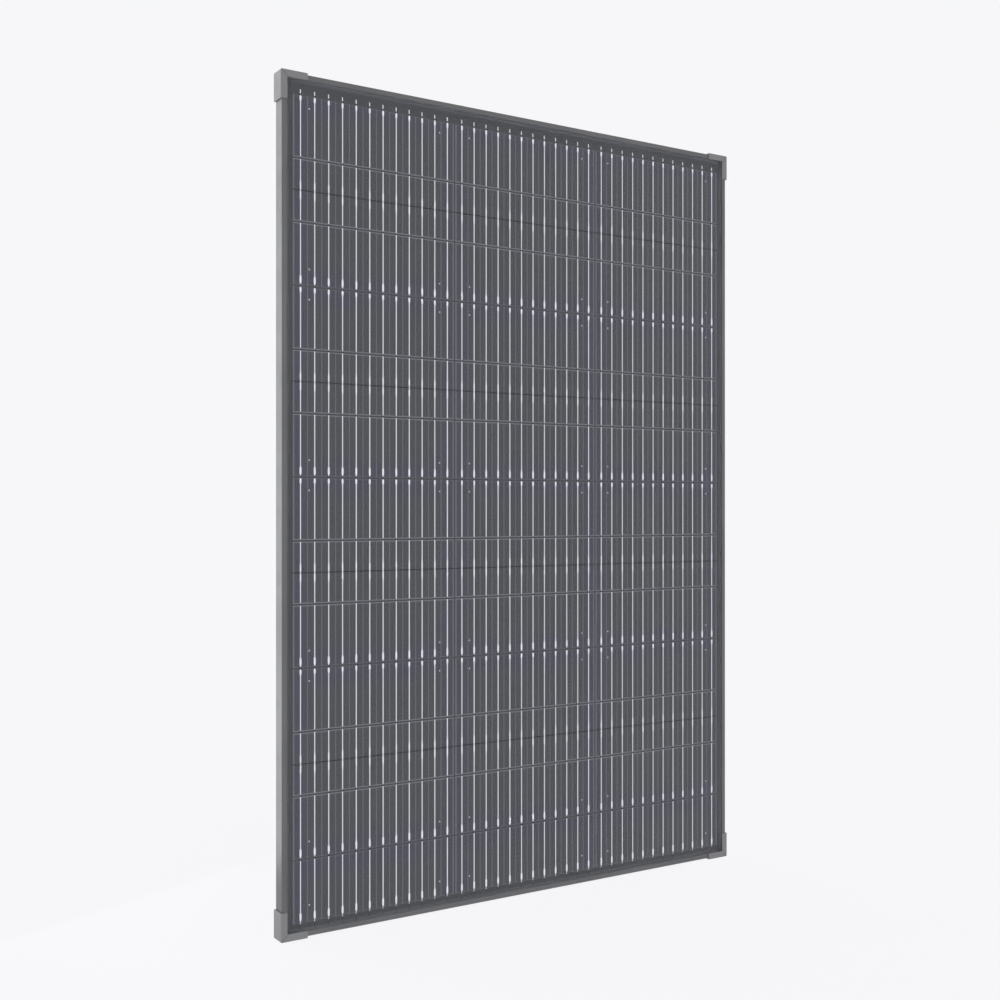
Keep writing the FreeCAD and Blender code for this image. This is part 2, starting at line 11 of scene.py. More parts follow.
import bpy
import numpy as np
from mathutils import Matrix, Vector


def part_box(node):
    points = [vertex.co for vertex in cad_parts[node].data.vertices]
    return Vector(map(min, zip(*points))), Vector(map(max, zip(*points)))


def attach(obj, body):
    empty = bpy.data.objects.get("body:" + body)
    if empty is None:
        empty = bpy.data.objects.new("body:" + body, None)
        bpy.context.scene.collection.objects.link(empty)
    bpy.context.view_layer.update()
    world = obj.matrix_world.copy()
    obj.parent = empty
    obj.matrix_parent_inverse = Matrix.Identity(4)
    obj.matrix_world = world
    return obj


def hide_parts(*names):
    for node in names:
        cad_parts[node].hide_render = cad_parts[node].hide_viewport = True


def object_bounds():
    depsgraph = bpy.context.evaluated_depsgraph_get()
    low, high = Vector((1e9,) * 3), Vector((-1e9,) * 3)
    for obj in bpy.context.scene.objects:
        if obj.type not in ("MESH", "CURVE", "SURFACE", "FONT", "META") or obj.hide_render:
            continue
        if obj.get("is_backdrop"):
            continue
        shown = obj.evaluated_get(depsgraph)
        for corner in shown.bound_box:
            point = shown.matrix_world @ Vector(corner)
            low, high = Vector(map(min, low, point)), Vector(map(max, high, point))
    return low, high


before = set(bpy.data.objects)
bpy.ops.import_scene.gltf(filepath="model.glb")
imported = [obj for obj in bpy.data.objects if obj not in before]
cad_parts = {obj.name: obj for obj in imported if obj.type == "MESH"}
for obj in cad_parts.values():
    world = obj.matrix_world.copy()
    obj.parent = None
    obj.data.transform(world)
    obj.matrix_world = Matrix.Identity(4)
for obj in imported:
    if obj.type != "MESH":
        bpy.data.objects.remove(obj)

LOG = logging.getLogger("solar_panel")
Socket = bpy.types.NodeSocket
Pair = tuple[float, float]
Triple = tuple[float, float, float]
Tone = Triple
PANEL = "panel"
LET_IN = 0.0001  # how deep an added piece is let into the surface that it stands on
NOISE_SPAN = (0.3, 0.7)  # where most of a noise texture's values lie
CORNER_SIGNS = np.array([(1, 1), (-1, 1), (-1, -1), (1, -1)])  # X and Z, anticlockwise


class Corner(Enum):
    """A corner of the panel, as the end of its nodes' names."""

    TOP_LEFT = "top_left"
    TOP_RIGHT = "top_right"
    BOTTOM_LEFT = "bottom_left"
    BOTTOM_RIGHT = "bottom_right"


# ---------------------------------------------------------------- places read from the frame
@dataclass(frozen=True)
class Layout:
    """Where the cells, ribbons and edges are, in metres, worked out from the boxes of the CAD nodes."""

    strings: tuple[str, ...] = ("left", "centre", "right")
    rows: int = 13
    full_rows: int = 3
    busbars: int = 12
    gap: float = 0.002
    ribbon_width: float = 0.0011

    def cells(self) -> tuple[Vector, Vector]:
        """Box of the first string of cells."""
        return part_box("cell_string_left")

    @property
    def left(self) -> float:
        """X of the first cell's left side."""
        return self.cells()[0].x

    @property
    def width(self) -> float:
        """Width of a cell."""
        low, high = self.cells()
        return high.x - low.x

    @property
    def step(self) -> float:
        """Distance from one string to the next."""
        return self.width + self.gap

    @property
    def top(self) -> float:
        """Z of the top of the cells."""
        return self.cells()[1].z

    @property
    def bottom(self) -> float:
        """Z of the bottom of the cells."""
        return self.cells()[0].z

    @property
    def drop(self) -> float:
        """Distance from the top of one row to the top of the next."""
        return (self.top - self.bottom + self.gap) / self.rows

    @property
    def height(self) -> float:
        """Height of a cell."""
        return self.drop - self.gap

    @property
    def cell_front(self) -> float:
        """Y of the cells' front."""
        return self.cells()[0].y

    @property
    def full_drop(self) -> float:
        """Distance from the top of one full cell, cut in three rows, to the top of the next."""
        return self.full_rows * self.drop

    @property
    def half_line(self) -> float:
        """Distance from the top of a full cell to the line across its middle."""
        return self.full_rows / 2 * self.drop - self.gap / 2

    def ribbon_inset(self) -> float:
        """Distance from a cell's side to the middle of its first ribbon."""
        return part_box("tabbing_ribbons_left")[0].x + self.ribbon_width / 2 - self.left

    def ribbon_pitch(self) -> float:
        """Distance from one ribbon to the next."""
        return (self.width - 2 * self.ribbon_inset()) / (self.busbars - 1)

    def ribbon_xs(self) -> np.ndarray:
        """X of every line of ribbons.

        The first ribbon's place plus whole pitches within a string, and whole steps from string to string.

        Returns:
            The places, from left to right.
        """
        within = self.ribbon_inset() + np.arange(self.busbars) * self.ribbon_pitch()
        starts = self.left + np.arange(len(self.strings)) * self.step
        return (starts[:, None] + within[None, :]).ravel()


# ---------------------------------------------------------------- meshes
@dataclass
class Shell:
    """Closed surface as arrays: points (n, 3) and equal-sided faces (m, k), in one or more groups."""

    points: np.ndarray
    faces: list[np.ndarray]

    def volume(self) -> float:
        """Signed volume.

        Sum over the triangles of the first corner dotted with the cross product of the other two, over six.

        Returns:
            The volume, above 0 where the faces point outwards.
        """
        total = 0.0
        for group in self.faces:
            corners = self.points[group]
            first = corners[:, :1]
            rest = np.cross(corners[:, 1:-1] - first, corners[:, 2:] - first)
            total += float((rest * first).sum()) / 6
        return total

    def outward(self) -> "Shell":
        """The same shell with its faces turned outwards."""
        if self.volume() < 0:
            self.faces = [group[:, ::-1] for group in self.faces]
        return self

    def __add__(self, other: "Shell") -> "Shell":
        """Both shells in one."""
        shifted = [group + len(self.points) for group in other.faces]
        return Shell(np.vstack([self.points, other.points]), self.faces + shifted)


def prisms(outline: np.ndarray, centres: np.ndarray, front: float, back: float) -> Shell:
    """One prism per centre.

    Each point is the centre plus an outline point in X and Z, at the front or the back in Y.

    Args:
        outline: (k, 2) corners, anticlockwise as seen from the front.
        centres: (n, 2) places in X and Z.
        front: Y of the front faces.
        back: Y of the back faces.

    Returns:
        The closed prisms.
    """
    count, sides = len(centres), len(outline)
    flat = (centres[:, None, :] + outline[None, :, :])[:, None].repeat(2, axis=1)
    depth = np.broadcast_to(np.array([front, back])[None, :, None], (count, 2, sides))
    points = np.stack([flat[..., 0], depth, flat[..., 1]], axis=-1).reshape(-1, 3)
    base = np.arange(count)[:, None] * 2 * sides
    here = np.arange(sides)[None, :]
    after = (here + 1) % sides
    walls = np.stack([base + here, base + sides + here, base + sides + after, base + after], axis=-1)
    return Shell(points, [walls.reshape(-1, 4), base + here, (base + sides + here)[:, ::-1]]).outward()


def circle(count: int) -> np.ndarray:
    """(count, 2) points on a circle of radius one: the cosine and the sine of equal turns."""
    turn = np.arange(count) / count * 2 * math.pi
    return np.column_stack([np.cos(turn), np.sin(turn)])


def corner_turns(steps: int) -> np.ndarray:
    """(4, steps) angles, a quarter turn in equal steps at each corner of a rectangle."""
    turn = np.linspace(0, math.pi / 2, steps) if steps > 1 else np.array([math.pi / 4])
    return turn[None, :] + np.arange(4)[:, None] * math.pi / 2


def quads(rows: int, columns: int, closed: bool = False) -> np.ndarray:
    """Four-sided faces between the points of a grid whose columns close on themselves.

    Each face joins a point, the one in the next row, that one's neighbour and its own neighbour.

    Args:
        rows: Rows of points.
        columns: Points in a row.
        closed: Whether the last row joins the first.

    Returns:
        (n, 4) numbers of points, counted row by row.
    """
    i, j = np.meshgrid(np.arange(rows if closed else rows - 1), np.arange(columns), indexing="ij")
    i2, j2 = (i + 1) % rows, (j + 1) % columns
    corners = [i * columns + j, i2 * columns + j, i2 * columns + j2, i * columns + j2]
    return np.stack(corners, axis=-1).reshape(-1, 4)


def copies(one: np.ndarray, groups: list[np.ndarray], centres: np.ndarray) -> Shell:
    """One closed shape at every centre: each point is a centre plus a point of the shape.

    Args:
        one: (k, 3) points of the shape.
        groups: Its faces.
        centres: (n, 3) places.

    Returns:
        The closed shapes.
    """
    points = (centres[:, None, :] + one[None]).reshape(-1, 3)
    base = (np.arange(len(centres)) * len(one))[:, None, None]
    faces = [(group[None] + base).reshape(-1, group.shape[-1]) for group in groups]
    return Shell(points, faces).outward()


def rounded(width: float, height: float, radius: float, steps: int = 3) -> np.ndarray:
    """Corners of a rounded rectangle about the origin.

    Each corner is a quarter circle of the radius, set in from the two sides by the radius.

    Args:
        width: Size along X.
        height: Size along Z.
        radius: Radius of the corners.
        steps: Points on each corner.

    Returns:
        (4 * steps, 2) points, anticlockwise.
    """
    middles = CORNER_SIGNS * (np.array([width, height]) / 2 - radius)
    angles = corner_turns(steps)
    arcs = radius * np.stack([np.cos(angles), np.sin(angles)], axis=-1)
    return (middles[:, None, :] + arcs).reshape(-1, 2)


def ring(profile: np.ndarray, half: Pair, middle: Pair = (0, 0), radius: float = 0.0,
         steps: int = 1) -> Shell:
    """A profile carried round a rectangle, closed on itself.

    Each path point lies on a rectangle with rounded corners, and the profile's first number moves it
    inwards while its second is its Y.

    Args:
        profile: (k, 2) points, inwards distance from 0 up and Y.
        half: Half sizes of the rectangle.
        middle: Its middle in X and Z.
        radius: Radius of its corners.
        steps: Points on each corner.

    Returns:
        The closed ring.
    """
    angles = corner_turns(steps)[..., None]
    signs = CORNER_SIGNS[:, None, :]
    inward = profile[None, None, :, 0]
    reach = np.maximum(radius - inward, 0.0)
    lost = np.minimum(radius - inward, 0.0)
    across = signs[..., 0:1] * (half[0] - radius + lost) + reach * np.cos(angles)
    upward = signs[..., 1:2] * (half[1] - radius + lost) + reach * np.sin(angles)
    depth = np.broadcast_to(profile[None, None, :, 1], across.shape)
    points = np.stack([across + middle[0], depth, upward + middle[1]], axis=-1)
    path = across.shape[0] * across.shape[1]
    return Shell(points.reshape(-1, 3), [quads(path, len(profile), closed=True)]).outward()


def domes(centres: np.ndarray, seat: float, radius: float, rise: float,
          spokes: int = 10, rings: int = 3) -> Shell:
    """Solder domes that stand up towards the back.

    Height falls from the rise at the middle to nothing at the radius as the cosine of a quarter turn.

    Args:
        centres: (n, 2) places in X and Z.
        seat: Y of the surface that they lie on.
        radius: Radius of a dome.
        rise: Height of a dome.
        spokes: Points round a dome.
        rings: Rings between the middle and the foot.

    Returns:
        The closed domes.
    """
    share = np.arange(1, rings + 1) / rings
    round_x, round_z = circle(spokes).T
    x = (radius * share[:, None] * round_x).ravel()
    z = (radius * share[:, None] * round_z).ravel()
    y = np.repeat(seat + rise * np.cos(share * math.pi / 2), spokes)
    one = np.column_stack([np.append(x, 0), np.append(y, seat + rise), np.append(z, 0)])
    spoke = np.arange(spokes)
    top = np.stack([np.full(spokes, rings * spokes), spoke, (spoke + 1) % spokes], axis=-1)
    foot = ((rings - 1) * spokes + spoke)[::-1][None]
    shift = np.column_stack([centres[:, 0], np.zeros(len(centres)), centres[:, 1]])
    return copies(one, [quads(rings, spokes), top, foot], shift)


def bands(centres: np.ndarray, radius: float, wall: float, length: float, spokes: int = 28) -> Shell:
    """Short rings round an axis along X.

    Points go round a circle in Y and Z, on two radii and at two ends.

    Args:
        centres: (n, 3) middles.
        radius: Inner radius.
        wall: Thickness.
        length: Length along X.
        spokes: Points round a ring.

    Returns:
        The closed rings.
    """
    round_y, round_z = circle(spokes).T
    profile = np.array([(-length / 2, radius), (length / 2, radius),
                        (length / 2, radius + wall), (-length / 2, radius + wall)])
    one = np.stack([np.broadcast_to(profile[None, :, 0], (spokes, 4)),
                    profile[None, :, 1] * round_y[:, None],
                    profile[None, :, 1] * round_z[:, None]], axis=-1).reshape(-1, 3)
    return copies(one, [quads(spokes, 4, closed=True)], centres)


# ---------------------------------------------------------------- material building
class Graph:
    """Node tree of one material, with a short method for each kind of node that the finishes use."""

    def __init__(self, name: str) -> None:
        """Start a tree with its output and the place of a point, as a whole and along each axis.

        Args:
            name: Name of the material.
        """
        self.material = bpy.data.materials.new(name)
        self.material.use_nodes = True
        self.tree = self.material.node_tree
        self.tree.nodes.clear()
        self.out = self.tree.nodes.new("ShaderNodeOutputMaterial")
        self.place = self.put("ShaderNodeTexCoord", {}).outputs["Object"]
        self.across, self.depth, self.up = self.put("ShaderNodeSeparateXYZ", {0: self.place}).outputs

    def put(self, kind: str, inputs: dict, **settings: object) -> bpy.types.Node:
        """Add a node.

        Args:
            kind: Blender's name for the node.
            inputs: A constant or another node's socket for each input, by name or number.
            **settings: Properties of the node.

        Returns:
            The node.
        """
        node = self.tree.nodes.new(kind)
        for key, value in settings.items():
            setattr(node, key, value)
        for key, value in inputs.items():
            if isinstance(value, Socket):
                self.tree.links.new(value, node.inputs[key])
            else:
                node.inputs[key].default_value = value
        return node

    def math(self, operation: str, *values: "Socket | float") -> Socket:
        """Result of a Math node."""
        return self.put("ShaderNodeMath", dict(enumerate(values)), operation=operation).outputs[0]

    def cloud(self, size: Triple, detail: float = 3.0) -> Socket:
        """Noise from 0 to 1.

        Args:
            size: Size of its blobs along each axis, in metres.
            detail: How many finer layers it has.

        Returns:
            The noise.
        """
        scale = tuple(1 / s for s in size)
        place = self.put("ShaderNodeMapping", {"Vector": self.place, "Scale": scale}).outputs[0]
        return self.put("ShaderNodeTexNoise", {"Vector": place, "Scale": 1.0, "Detail": detail,
                                               "Roughness": 0.55}).outputs[0]

    def ramp(self, value: Socket, low: float, high: float, first: float = 0.0,
             last: float = 1.0) -> Socket:
        """Smooth change from first to last as the value goes from low to high."""
        return self.put("ShaderNodeMapRange", {0: value, 1: low, 2: high, 3: first, 4: last},
                        interpolation_type="SMOOTHSTEP").outputs[0]

    def line(self, value: Socket, place: float, half: float, soft: float) -> Socket:
        """1 within half of a place, falling to 0 over the soft distance."""
        away = self.math("ABSOLUTE", self.math("SUBTRACT", value, place))
        return self.ramp(away, half, half + soft, 1.0, 0.0)

    def from_ends(self, value: Socket, high: float, low: float = 0.0) -> Socket:
        """Distance to the nearer end of a stretch, less than 0 outside it."""
        start = self.math("SUBTRACT", value, low) if low else value
        return self.math("MINIMUM", start, self.math("SUBTRACT", high, value))

    def blend(self, amount: "Socket | float", first: "Socket | Tone",
              second: "Socket | Tone") -> Socket:
        """Colour between first and second."""
        ends = [value if isinstance(value, Socket) else (*value, 1.0) for value in (first, second)]
        return self.put("ShaderNodeMix", {0: amount, 6: ends[0], 7: ends[1]},
                        data_type="RGBA").outputs[2]

    def bump(self, height: Socket, depth: float) -> Socket:
        """Normal bent by a height from 0 to 1 that stands for a depth in metres."""
        return self.put("ShaderNodeBump", {"Height": height, "Distance": depth, "Strength": 1.0}
                        ).outputs[0]

    def close(self, shader: bpy.types.Node) -> bpy.types.Material:
        """Wire a shader to the output and hand over the material."""
        self.tree.links.new(shader.outputs[0], self.out.inputs["Surface"])
        return self.material


@dataclass(frozen=True)
class Finish:
    """An opaque finish: its tone, gloss and grain, each a little uneven."""

    name: str
    tone: Tone
    roughness: float
    metallic: float = 0.0
    specular: float = 0.5
    coat: float = 0.0
    uneven: float = 0.12
    grain: Triple = (0.0007, 0.0007, 0.0007)
    relief: float = 0.00002
    broad: Triple = (0.09, 0.09, 0.09)
    fine_share: float = 0.45
    patch: Triple = (0.02, 0.02, 0.02)
    gloss_wander: float = 0.1

    def shade(self, share: float) -> Tone:
        """The tone, lighter or darker by a share of itself."""
        return tuple(part * (1 + share) for part in self.tone)

    def colour(self, graph: Graph) -> Socket:
        """Tone with a broad cloud in it and a little of the grain.

        Args:
            graph: The node tree.

        Returns:
            The colour.
        """
        broad = graph.math("MULTIPLY", graph.cloud(self.broad, 2.0), 1 - self.fine_share)
        both = graph.math("MULTIPLY_ADD", graph.cloud(self.grain), self.fine_share, broad)
        amount = graph.ramp(both, *NOISE_SPAN)
        return graph.blend(amount, self.shade(-self.uneven), self.shade(self.uneven))

    def height(self, graph: Graph) -> Socket:
        """Height of the grain."""
        return graph.cloud(self.grain, 2.0)

    def gloss(self, graph: Graph) -> Socket:
        """Roughness that wanders up and down by a share of itself.

        Args:
            graph: The node tree.

        Returns:
            The roughness.
        """
        return graph.ramp(graph.cloud(self.patch, 3.0), *NOISE_SPAN,
                          self.roughness * (1 - self.gloss_wander),
                          min(self.roughness * (1 + self.gloss_wander), 1.0))

    def make(self) -> bpy.types.Material:
        """Build the material.

        Returns:
            The material.
        """
        graph = Graph(self.name)
        shader = graph.put("ShaderNodeBsdfPrincipled", {
            "Base Color": self.colour(graph), "Metallic": self.metallic,
            "Roughness": self.gloss(graph), "Specular IOR Level": self.specular,
            "Coat Weight": self.coat, "Normal": graph.bump(self.height(graph), self.relief)})
        return graph.close(shader)


@dataclass(frozen=True)
class CellSurface(Finish):
    """Dark textured silicon with printed fingers, a half line and scribed edges.

    The printing repeats with the cells, so distances are taken modulo the layout's steps.
    """

    layout: Layout = field(default_factory=Layout)
    cell_spread: float = 0.025
    streak: Triple = (0.0016, 0.004, 0.05)
    streak_shade: float = 0.12
    tint: Tone = (0.067, 0.065, 0.096)
    tint_share: float = 0.85
    tint_cloud: Triple = (0.03, 0.03, 0.05)
    tint_wander: float = 0.030
    tint_side: Pair = (0.022, 0.040)
    tint_end: Pair = (0.024, 0.042)
    finger_pitch: float = 0.0015
    finger_half: float = 0.00028
    finger_crest: float = 0.0002
    finger_share: float = 0.30
    bright_line_shade: float = 2.2
    seam: Pair = (0.0003, 0.0005)
    side_line: Triple = (0.0012, 0.0004, 0.0005)
    seam_shade: float = 1.4
    cut_line: Pair = (0.0013, 0.0008)
    full_edge: Pair = (0.005, 0.006)
    full_edge_share: float = 0.3
    half_width: Pair = (0.0005, 0.0004)
    half_share: float = 0.75
    half_shade: float = -0.9

    def colour(self, graph: Graph) -> Socket:
        """Silicon that is bluer towards the full cell's edges, with its printed lines.

        Args:
            graph: The node tree.

        Returns:
            The colour.
        """
        cells = self.layout
        from_left = graph.math("SUBTRACT", graph.across, cells.left)
        down = graph.math("SUBTRACT", cells.top, graph.up)
        u = graph.math("FLOORED_MODULO", from_left, cells.step)
        v = graph.math("FLOORED_MODULO", down, cells.drop)
        w = graph.math("FLOORED_MODULO", down, cells.full_drop)
        side = graph.from_ends(u, cells.width)
        end = graph.from_ends(w, cells.full_drop - cells.gap)
        base = self.silicon(graph, from_left, down, side, end)
        base = self.fingers(graph, base, v)
        base = self.seams(graph, base, u, side)
        return self.cross_lines(graph, base, v, w, end)

    def silicon(self, graph: Graph, from_left: Socket, down: Socket, side: Socket,
                end: Socket) -> Socket:
        """Streaked silicon, a little different in each cell and bluer near the full cell's edges.

        Args:
            graph: The node tree.
            from_left: Distance from the left side of the first cell.
            down: Distance below the top of the first cell.
            side: Distance to the cell's nearer side.
            end: Distance to the full cell's nearer end.

        Returns:
            The colour.
        """
        wander = graph.math("MULTIPLY", graph.cloud(self.tint_cloud, 4.0), self.tint_wander)
        near = graph.math("MAXIMUM", *[
            graph.ramp(graph.math("ADD", away, wander), *reach, 1.0, 0.0)
            for away, reach in ((side, self.tint_side), (end, self.tint_end))])
        cell = graph.put("ShaderNodeCombineXYZ", {
            0: graph.math("FLOOR", graph.math("DIVIDE", from_left, self.layout.step)),
            1: graph.math("FLOOR", graph.math("DIVIDE", down, self.layout.drop))}).outputs[0]
        chance = graph.put("ShaderNodeTexWhiteNoise", {"Vector": cell}).outputs["Value"]
        base = graph.blend(chance, self.shade(-self.cell_spread), self.shade(self.cell_spread))
        base = graph.blend(graph.cloud(self.streak, 2.0), base, self.shade(self.streak_shade))
        return graph.blend(graph.math("MULTIPLY", near, self.tint_share), base, self.tint)

    def fingers(self, graph: Graph, base: Socket, v: Socket) -> Socket:
        """The base with fine printed fingers across it.

        Args:
            graph: The node tree.
            base: The colour so far.
            v: Distance below the cell's top.

        Returns:
            The colour with the fingers.
        """
        half = self.finger_pitch / 2
        finger = graph.math("PINGPONG", graph.math("ADD", v, half), half)
        return graph.blend(graph.ramp(finger, self.finger_half, 0.0, 0.0, self.finger_share), base,
                           self.shade(self.bright_line_shade))

    def seams(self, graph: Graph, base: Socket, u: Socket, side: Socket) -> Socket:
        """The base with the lines that run up the cell.

        Args:
            graph: The node tree.
            base: The colour so far.
            u: Distance from the cell's left side.
            side: Distance to its nearer side.

        Returns:
            The colour with a line midway between ribbons and one inside each side.
        """
        pitch = self.layout.ribbon_pitch()
        shifted = graph.math("SUBTRACT", u, self.layout.ribbon_inset() + pitch / 2)
        between = graph.from_ends(graph.math("PINGPONG", shifted, pitch), pitch)
        base = graph.blend(graph.line(between, 0.0, *self.seam), base, self.shade(self.seam_shade))
        return graph.blend(graph.line(side, *self.side_line), base, self.shade(self.seam_shade))

    def cross_lines(self, graph: Graph, base: Socket, v: Socket, w: Socket, end: Socket) -> Socket:
        """The base with the lines that run across the cell.

        Args:
            graph: The node tree.
            base: The colour so far.
            v: Distance below the cell's top.
            w: Distance below the full cell's top.
            end: Distance to the full cell's nearer end.

        Returns:
            The colour with bright lines at the cut edges, fainter at a full cell's own edges, and a
            dark line across the full cell's middle.
        """
        cells = self.layout
        outer = graph.math("MINIMUM", end, graph.math("SUBTRACT", graph.up, cells.bottom))
        inner = graph.ramp(outer, *self.full_edge, self.full_edge_share, 1.0)
        # bright lines along the cut edges, weaker at a full cell's own edges
        cut = graph.ramp(graph.from_ends(v, cells.height), *self.cut_line)
        base = graph.blend(graph.math("MULTIPLY", cut, inner), base, self.shade(self.bright_line_shade))
        half = graph.line(w, cells.half_line, *self.half_width)
        return graph.blend(graph.math("MULTIPLY", half, self.half_share), base,
                           self.shade(self.half_shade))

    def height(self, graph: Graph) -> Socket:
        """Fingers that stand up a little from the silicon, and as much again of its grain.

        Args:
            graph: The node tree.

        Returns:
            The height, from 0 to 1.
        """
        finger = graph.math("PINGPONG", graph.up, self.finger_pitch / 2)
        return graph.math("ADD", graph.ramp(finger, self.finger_crest, 0.0, 0.0, 0.5),
                          graph.math("MULTIPLY", graph.cloud(self.grain, 2.0), 0.5))


@dataclass(frozen=True)
class RibbonSurface(Finish):
    """Tinned ribbon, black where it crosses a gap between cells, and dark at its far ends."""

    layout: Layout = field(default_factory=Layout)
    black: Tone = (0.022, 0.022, 0.024)
    buried: Tone = (0.056, 0.057, 0.064)
    stub: float = 0.0068
    tail: float = 0.0010
    tail_fade: float = 0.0004
    gap_fade: Pair = (0.0003, 0.0001)
    speckle: Triple = (0.0012, 0.0012, 0.006)
    last_share: float = 0.9
    last_shade: float = 0.22

    def colour(self, graph: Graph) -> Socket:
        """Bright tin, brighter on a string's last ribbon, and black in the gaps.

        Args:
            graph: The node tree.

        Returns:
            The colour.
        """
        cells = self.layout
        down = graph.math("SUBTRACT", cells.top, graph.up)
        v = graph.math("FLOORED_MODULO", down, cells.drop)
        u = graph.math("FLOORED_MODULO", graph.math("SUBTRACT", graph.across, cells.left), cells.step)
        last = graph.math("GREATER_THAN", u, cells.width - 1.5 * cells.ribbon_inset())
        tin = graph.blend(graph.cloud(self.speckle), self.shade(-self.uneven), self.shade(self.uneven))
        tin = graph.blend(graph.math("MULTIPLY", last, self.last_share), tin,
                          self.shade(self.last_shade))
        fade, near = self.gap_fade
        in_gap = graph.ramp(v, cells.height - fade, cells.height - near)
        inside = graph.math("GREATER_THAN", graph.up, cells.bottom - near)
        above = graph.math("GREATER_THAN", graph.up, cells.top + self.stub)
        end = cells.bottom - self.tail
        below = graph.ramp(graph.up, end, end - self.tail_fade)
        # black where the ribbon crosses a gap between cells
        crossing = graph.blend(graph.math("MULTIPLY", in_gap, inside), tin, self.black)
        return graph.blend(graph.math("MAXIMUM", above, below), crossing, self.buried)


@dataclass(frozen=True)
class BacksheetSurface(Finish):
    """Black backsheet on which the cells and ribbons print through."""

    layout: Layout = field(default_factory=Layout)
    cell_slope: Pair = (-0.001, 0.0012)
    cell_share: float = 0.5
    ribbon_slope: Pair = (0.0018, 0.0004)
    ribbon_share: float = 0.35
    cloth_share: float = 0.12

    def height(self, graph: Graph) -> Socket:
        """Raised cells, raised ribbon lines and a fine cloth-like grain.

        Args:
            graph: The node tree.

        Returns:
            The height, from 0 to 1.
        """
        cells = self.layout
        u = graph.math("FLOORED_MODULO", graph.math("SUBTRACT", graph.across, cells.left), cells.step)
        v = graph.math("FLOORED_MODULO", graph.math("SUBTRACT", cells.top, graph.up), cells.drop)
        side, end = graph.from_ends(u, cells.width), graph.from_ends(v, cells.height)
        inside = graph.ramp(graph.math("MINIMUM", side, end), *self.cell_slope)
        pitch = cells.ribbon_pitch()
        ribbon = graph.math("PINGPONG", graph.math("SUBTRACT", u, cells.ribbon_inset()), pitch)
        ribbon = graph.ramp(graph.from_ends(ribbon, pitch), *self.ribbon_slope)
        line = graph.math("MULTIPLY", ribbon, self.ribbon_share)
        grain = graph.math("MULTIPLY", graph.cloud(self.grain, 2.0), self.cloth_share)
        return graph.math("ADD", graph.math("MULTIPLY_ADD", inside, self.cell_share, line), grain)


@dataclass(frozen=True)
class BorderSurface(Finish):
    """Black film with painted light along the frame's lip, standing in for stray light from the glass where
    the lip shades it.
    """

    low: Triple = (0.0, 0.0, 0.0)
    high: Triple = (0.0, 0.0, 0.0)
    # painted light: the film lightened near the opening's sides, over the shade of the lip
    glow: float = 1.5
    reach: float = 0.005
    # stronger painted light under the lip, where its shade falls deepest
    under_lip_painted_light: float = 4.5
    deep_reach: float = 0.0008

    def colour(self, graph: Graph) -> Socket:
        """Tone with a cloud in it, with painted light towards the nearest side of the opening and more
        under the lip.

        Args:
            graph: The node tree.

        Returns:
            The colour.
        """
        inside = graph.math("MINIMUM", graph.from_ends(graph.across, self.high[0], self.low[0]),
                            graph.from_ends(graph.up, self.high[2], self.low[2]))
        # painted light near the sides of the opening, and more under the lip
        edge = graph.ramp(inside, 0.0, self.reach, 1.0, 0.0)
        deep = graph.ramp(inside, -self.deep_reach, self.deep_reach, 1.0, 0.0)
        lit = graph.blend(edge, super().colour(graph), self.shade(self.glow))
        return graph.blend(deep, lit, self.shade(self.under_lip_painted_light))


@dataclass(frozen=True)
class GlassSurface(Finish):
    """Clear sheet with an anti-reflection coating: mostly see-through, with a faint even reflection."""

    mirror: float = 0.010
    clear: Tone = (0.985, 0.99, 0.99)

    def make(self) -> bpy.types.Material:
        """Build a see-through surface with a reflection over it.

        The reflected share is the mirror share head on, and grows with the fifth power of the slant.

        Returns:
            The material.
        """
        graph = Graph(self.name)
        normal = graph.bump(self.height(graph), self.relief)
        slant = graph.put("ShaderNodeLayerWeight", {"Blend": 0.5}).outputs["Facing"]
        share = graph.math("MULTIPLY_ADD", graph.math("POWER", slant, 5.0), 1 - self.mirror, self.mirror)
        through = graph.put("ShaderNodeBsdfTransparent", {"Color": (*self.clear, 1.0)})
        shine = graph.put("ShaderNodeBsdfGlossy", {
            "Color": (*self.tone, 1.0), "Roughness": self.gloss(graph), "Normal": normal})
        return graph.close(graph.put("ShaderNodeMixShader", {
            0: share, 1: through.outputs[0], 2: shine.outputs[0]}))


# ---------------------------------------------------------------- pieces
@dataclass
class Assembly:
    """A sub-assembly of the panel, with the nodes that it dresses and the pieces that it adds."""

    layout: Layout
    pieces: list[bpy.types.Object] = field(default_factory=list)

    def dress(self, finish: Finish, *nodes: str) -> None:
        """Give CAD nodes a finish through their own material slots.

        Args:
            finish: The finish.
            *nodes: Names of the nodes.
        """
        material = finish.make()
        for name in nodes:
            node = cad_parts[name]
            if not node.material_slots:
                node.data.materials.append(material)
            for slot in node.material_slots:
                slot.material = material
            LOG.info("%s: %s", name, finish.name)

    def add(self, name: str, shell: Shell, finish: "Finish | bpy.types.Material", slot: str,
            body: str = PANEL, smooth: bool = False) -> bpy.types.Object:
        """Make a shell into a piece that rides on a body.

        Args:
            name: Name of the piece.
            shell: Its surface.
            finish: Its finish.
            slot: Not used.
            body: The CAD body that it rides on.
            smooth: Whether its faces are shaded smooth.

        Returns:
            The piece.
        """
        mesh = bpy.data.meshes.new(name)
        faces = [face for group in shell.faces for face in group.tolist()]
        mesh.from_pydata(shell.points.tolist(), [], faces)
        if smooth:
            mesh.polygons.foreach_set("use_smooth", np.ones(len(mesh.polygons), bool))
        mesh.update()
        piece = bpy.data.objects.new(name, mesh)
        bpy.context.scene.collection.objects.link(piece)
        mesh.materials.append(finish.make() if isinstance(finish, Finish) else finish)
        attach(piece, body)
        self.pieces.append(piece)
        LOG.info("%s: %d points on %s", name, len(shell.points), body)
        return piece


